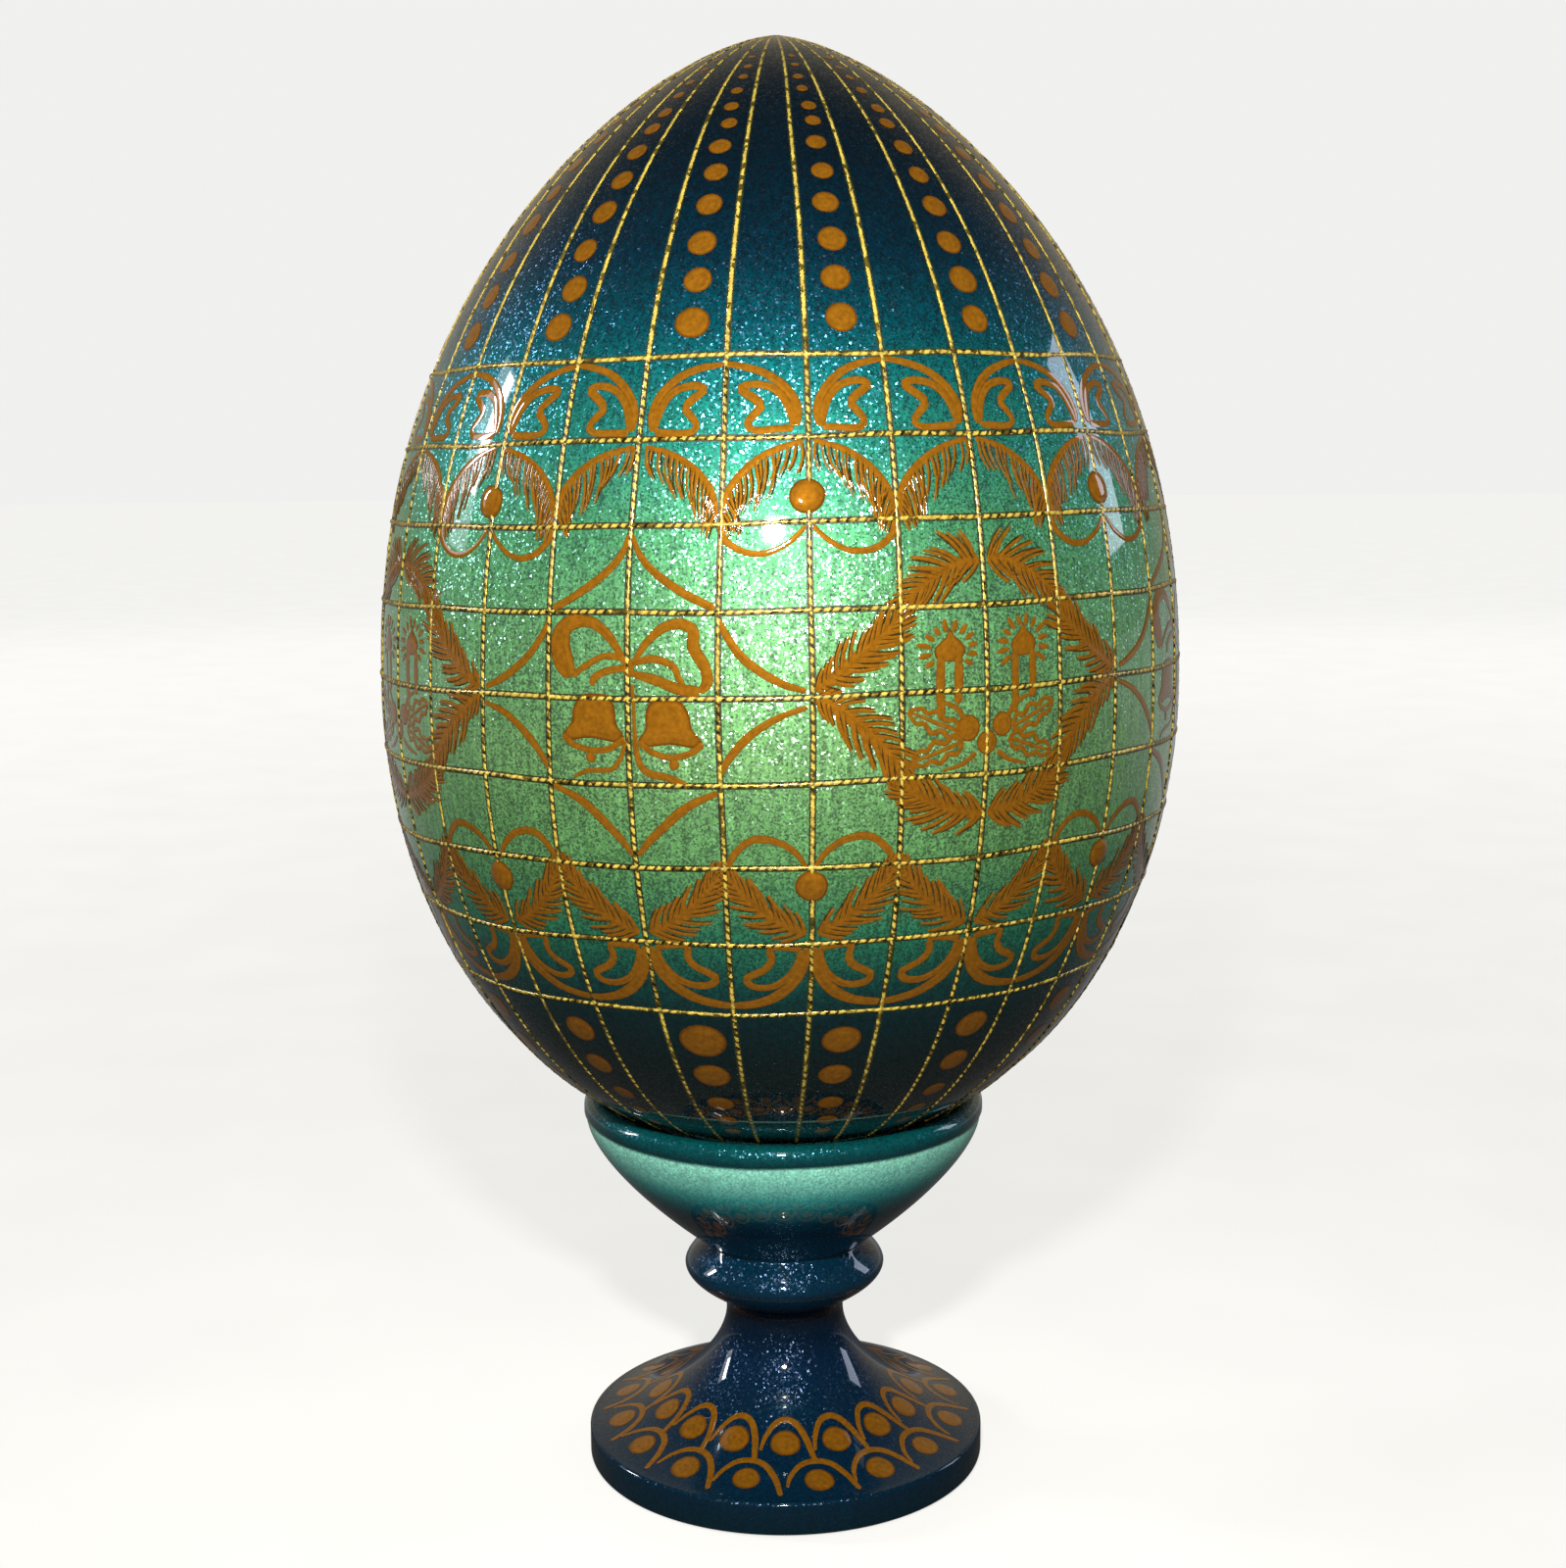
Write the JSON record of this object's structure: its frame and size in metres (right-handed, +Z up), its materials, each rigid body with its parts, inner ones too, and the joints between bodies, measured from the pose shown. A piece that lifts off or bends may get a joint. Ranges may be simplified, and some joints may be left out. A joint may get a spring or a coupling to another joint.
{
  "type": "decorated wooden egg on stand",
  "caption": "Large turned wooden egg with a lacquered holiday pattern in a gold thread net, resting upright in the cup of a turned pedestal stand with a bead and a round foot",
  "frame": {"origin": "centre of the stand's flat underside, which is the bottom centre of the whole part's box", "axes": "+Z is up along the turning axis of the egg and of the stand, -Y is the side towards the camera and +X is to its right"},
  "size_m": [0.0722, 0.0722, 0.1313],
  "materials": {
    "egg_lacquer": "pearl green paint shading to navy at both ends, under clear gloss lacquer",
    "stand_lacquer": "pearl navy paint with a pale sea green cup, under clear gloss lacquer",
    "gold_thread": "fine wound metallic thread bonded to the egg",
    "copper_paint": "copper bronze paint, laid on the painted wood by brush under the clear gloss lacquer"
  },
  "bodies": {
    "root": {"egg": "egg_lacquer", "stand": "stand_lacquer"}
  },
  "joints": []
}
